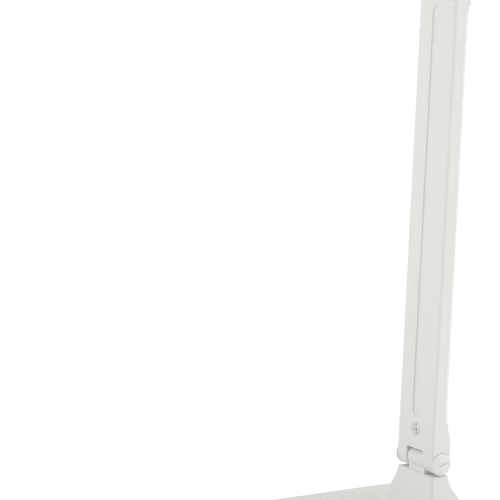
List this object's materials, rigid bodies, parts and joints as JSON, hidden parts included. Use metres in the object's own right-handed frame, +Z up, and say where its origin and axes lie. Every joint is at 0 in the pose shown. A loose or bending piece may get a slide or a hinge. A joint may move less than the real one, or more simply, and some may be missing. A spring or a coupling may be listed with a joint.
{
  "type": "folding desk lamp",
  "caption": "Folding task lamp: a weighted flat base, an upright arm on a friction hinge and a slim lamp head on a second hinge.",
  "frame": {"origin": "centre of the non-slip pad's underside, where the lamp rests on the table", "axes": "+Z up; -Y is the lamp's front, where the head reaches out and the buttons are; the coin-slotted hinge caps are on +X"},
  "size_m": [0.12, 0.2808, 0.4141],
  "materials": {
    "white_plastic": "fine satin moulded ABS, warm white",
    "white_cover": "smooth satin moulded ABS, warm white",
    "white_caps": "satin moulded plastic",
    "white_keys": "smooth satin plastic",
    "frosted_diffuser": "frosted translucent sheet",
    "grey_rubber": "soft non-slip rubber sheet",
    "plated_steel": "zinc-plated steel",
    "bare_aluminium": "bare rolled aluminium",
    "bronze": "plain bronze",
    "green_board": "green solder mask",
    "white_board": "white solder mask",
    "led_phosphor": "yellow phosphor under clear resin",
    "white_reflector": "gloss white plastic",
    "black_plastic": "black moulded plastic",
    "red_insulation": "flexible lead insulation"
  },
  "bodies": {
    "base": {"base_shell": "white_plastic", "pedestal": "white_plastic", "bottom_plate": "white_plastic", "ballast_plate": "plated_steel", "non_slip_pad": "grey_rubber", "base_screws": "plated_steel", "control_board": "green_board", "key_switches": "black_plastic", "board_screws": "plated_steel", "dc_socket": "black_plastic", "base_leads": "red_insulation", "lower_hinge_block": "white_plastic", "lower_hinge_bracket": "plated_steel", "lower_bracket_screws": "plated_steel", "lower_hinge_bushes": "bronze", "lower_friction_washers": "bronze"},
    "power_button": {"power_button": "white_keys"},
    "brighter_button": {"brighter_button": "white_keys"},
    "dimmer_button": {"dimmer_button": "white_keys"},
    "arm": {"arm_front_housing": "white_plastic", "arm_rear_cover": "white_cover", "arm_spine": "plated_steel", "arm_screws": "plated_steel", "arm_lead": "red_insulation", "lower_hinge_bolt": "plated_steel", "lower_spring_washer": "plated_steel", "lower_hinge_nut": "plated_steel", "lower_slotted_cap": "white_caps", "lower_plain_cap": "white_caps", "upper_hinge_bolt": "plated_steel", "upper_spring_washer": "plated_steel", "upper_hinge_nut": "plated_steel", "upper_slotted_cap": "white_caps", "upper_plain_cap": "white_caps"},
    "head": {"head_housing": "white_plastic", "head_bezel": "white_plastic", "diffuser": "frosted_diffuser", "led_board": "white_board", "leds": "led_phosphor", "reflector": "white_reflector", "heat_sink": "bare_aluminium", "heat_sink_screws": "plated_steel", "bezel_screws": "plated_steel", "head_lead": "red_insulation", "upper_hinge_block": "white_plastic", "upper_hinge_bracket": "plated_steel", "upper_bracket_screws": "plated_steel", "upper_hinge_bushes": "bronze", "upper_friction_washers": "bronze"}
  },
  "joints": [
    {"name": "arm_fold", "type": "hinge", "parent": "base", "child": "arm", "pos_m": [0, 0.076, 0.0475], "axis": [1, 0, 0], "range_deg": [-12, 93]},
    {"name": "head_tilt", "type": "hinge", "parent": "arm", "child": "head", "pos_m": [0, 0.0917, 0.34709], "axis": [1, 0, 0], "range_deg": [-35, 97]},
    {"name": "power_button_press", "type": "slide", "parent": "base", "child": "power_button", "axis": [0, 0, -1], "range_m": [0, 0.0008], "stiffness_N_per_m": 500, "springref_m": -0.0004},
    {"name": "brighter_button_press", "type": "slide", "parent": "base", "child": "brighter_button", "axis": [0, 0, -1], "range_m": [0, 0.0008], "stiffness_N_per_m": 500, "springref_m": -0.0004},
    {"name": "dimmer_button_press", "type": "slide", "parent": "base", "child": "dimmer_button", "axis": [0, 0, -1], "range_m": [0, 0.0008], "stiffness_N_per_m": 500, "springref_m": -0.0004}
  ]
}
